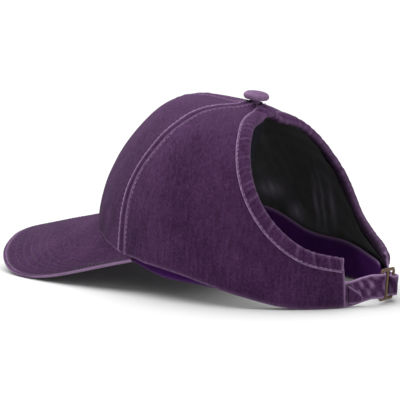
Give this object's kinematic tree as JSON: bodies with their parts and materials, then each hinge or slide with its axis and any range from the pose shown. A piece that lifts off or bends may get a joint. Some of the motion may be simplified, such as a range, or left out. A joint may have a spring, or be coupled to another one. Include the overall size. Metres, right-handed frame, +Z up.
{
  "type": "ponytail baseball cap",
  "caption": "Low baseball cap with a curved peak and a large bound ponytail opening at the back, closed below by a strap with a slide buckle.",
  "frame": {"origin": "on the table, under the middle of the whole cap's box", "axes": "-Y towards the peak, +X the wearer's left, +Z up"},
  "size_m": [0.1558, 0.2788, 0.1233],
  "materials": {
    "washed_cotton": "washed plum cotton twill, matt, faded along its edges",
    "worn_cotton": "the same cotton, more faded",
    "black_satin": "thin black lining with a dull sheen",
    "violet_twill": "unfaded violet cotton twill, matt",
    "aged_brass": "dark aged brass, dull"
  },
  "bodies": {
    "root": {"front_left": "washed_cotton", "front_right": "washed_cotton", "side_left": "washed_cotton", "side_right": "washed_cotton", "opening_binding": "worn_cotton", "crown_lining": "black_satin", "sweatband": "violet_twill", "peak": "washed_cotton", "button": "worn_cotton", "back_strap": "washed_cotton", "strap_tab": "washed_cotton", "buckle_loop": "washed_cotton", "buckle": "aged_brass"}
  },
  "joints": []
}
